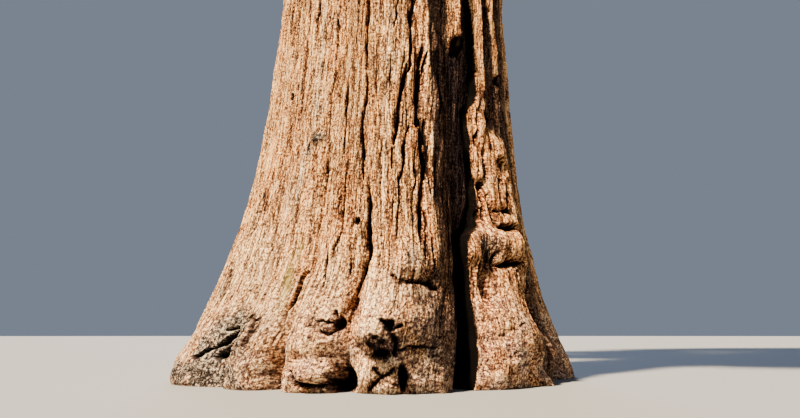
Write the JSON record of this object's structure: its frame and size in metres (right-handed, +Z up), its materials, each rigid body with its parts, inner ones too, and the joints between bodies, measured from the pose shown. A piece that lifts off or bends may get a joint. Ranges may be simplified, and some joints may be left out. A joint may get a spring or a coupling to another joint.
{
  "type": "giant sequoia tree",
  "caption": "Old giant sequoia with a fluted, buttressed trunk, a deep cleft in its foot, great upturned boughs and dense rounded masses of needles up to its head",
  "frame": {"origin": "on the trunk's axis, in the middle of the flat cut under the trunk at ground level", "axes": "+Z up along the trunk; -Y is the side seen in the picture, with the deep cleft at its right; +X to the right seen from that side"},
  "size_m": [15.3417, 14.7395, 40],
  "materials": {
    "bark": "deeply furrowed fibrous bark",
    "foliage": "dense sprays of scale needles"
  },
  "bodies": {
    "root": {"trunk": "bark", "bough_01": "bark", "bough_02": "bark", "bough_03": "bark", "bough_04": "bark", "bough_05": "bark", "bough_06": "bark", "bough_07": "bark", "bough_08": "bark", "bough_09": "bark", "bough_10": "bark", "bough_11": "bark", "bough_12": "bark", "bough_13": "bark", "bough_14": "bark", "bough_15": "bark", "bough_16": "bark", "bough_17": "bark", "bough_18": "bark", "bough_19": "bark", "bough_20": "bark", "bough_21": "bark", "bough_22": "bark", "bough_23": "bark", "bough_24": "bark", "foliage_01": "foliage", "foliage_02": "foliage", "foliage_03": "foliage", "foliage_04": "foliage", "foliage_05": "foliage", "foliage_06": "foliage", "foliage_07": "foliage", "foliage_08": "foliage", "foliage_09": "foliage", "foliage_10": "foliage", "foliage_11": "foliage", "foliage_12": "foliage", "foliage_13": "foliage", "foliage_14": "foliage", "foliage_15": "foliage", "foliage_16": "foliage", "foliage_17": "foliage", "foliage_18": "foliage", "foliage_19": "foliage", "foliage_20": "foliage", "foliage_21": "foliage", "foliage_22": "foliage", "foliage_23": "foliage", "foliage_24": "foliage", "head_foliage_01": "foliage", "head_foliage_02": "foliage", "head_foliage_03": "foliage", "head_foliage_04": "foliage", "head_foliage_05": "foliage", "head_foliage_06": "foliage"}
  },
  "joints": []
}
